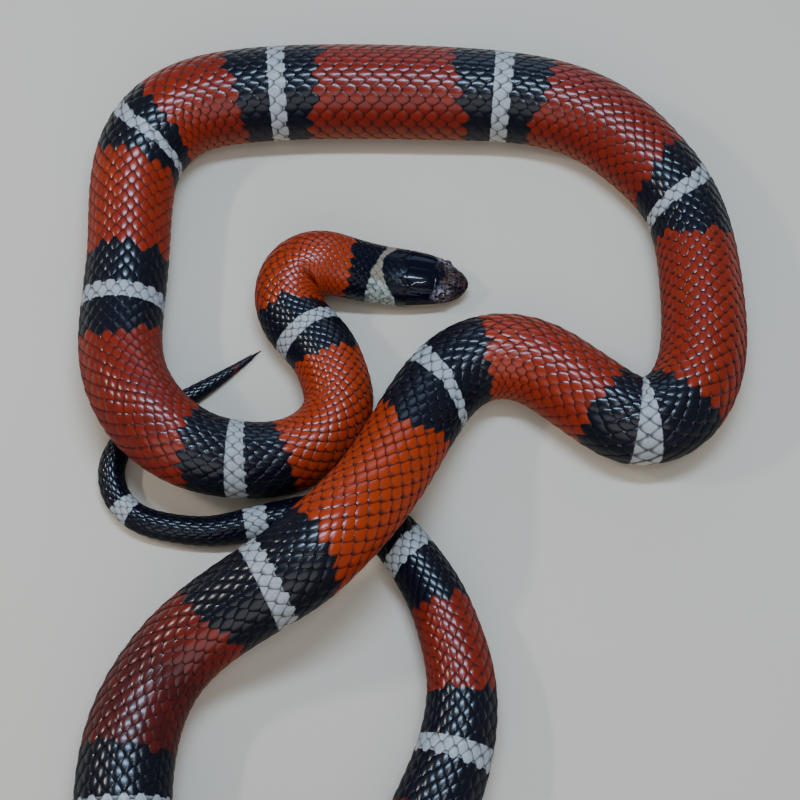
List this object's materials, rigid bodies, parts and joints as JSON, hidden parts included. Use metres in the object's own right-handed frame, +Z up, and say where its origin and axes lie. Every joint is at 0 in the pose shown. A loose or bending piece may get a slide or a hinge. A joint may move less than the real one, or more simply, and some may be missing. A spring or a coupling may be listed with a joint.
{
  "type": "milk snake",
  "caption": "Life-size milk snake lying still in open loops, its tail passing under the body, with red, black and pale bands and a dark head.",
  "frame": {"origin": "on the floor under the middle of the snake's box, at the level of the belly's flats", "axes": "+Z up, +X the way the head points, +Y towards the far run of the body, away from the viewer of the picture"},
  "size_m": [0.1791, 0.2632, 0.0357],
  "materials": {
    "head_plates": "smooth glossy plates",
    "banded_scales": "satin scales in red, black and pale bands",
    "tail_scales": "satin scales, mostly black with pale rings",
    "eye": "polished, opaque"
  },
  "bodies": {
    "root": {"head": "head_plates", "eye_left": "eye", "eye_right": "eye", "neck": "banded_scales", "torso_01": "banded_scales", "torso_02": "banded_scales", "torso_03": "banded_scales", "torso_04": "banded_scales", "torso_05": "banded_scales", "torso_06": "banded_scales", "torso_07": "banded_scales", "torso_08": "banded_scales", "torso_09": "banded_scales", "torso_10": "banded_scales", "torso_11": "banded_scales", "torso_12": "banded_scales", "torso_13": "banded_scales", "torso_14": "banded_scales", "tail_base": "tail_scales", "tail_middle": "tail_scales", "tail_tip": "tail_scales"}
  },
  "joints": []
}
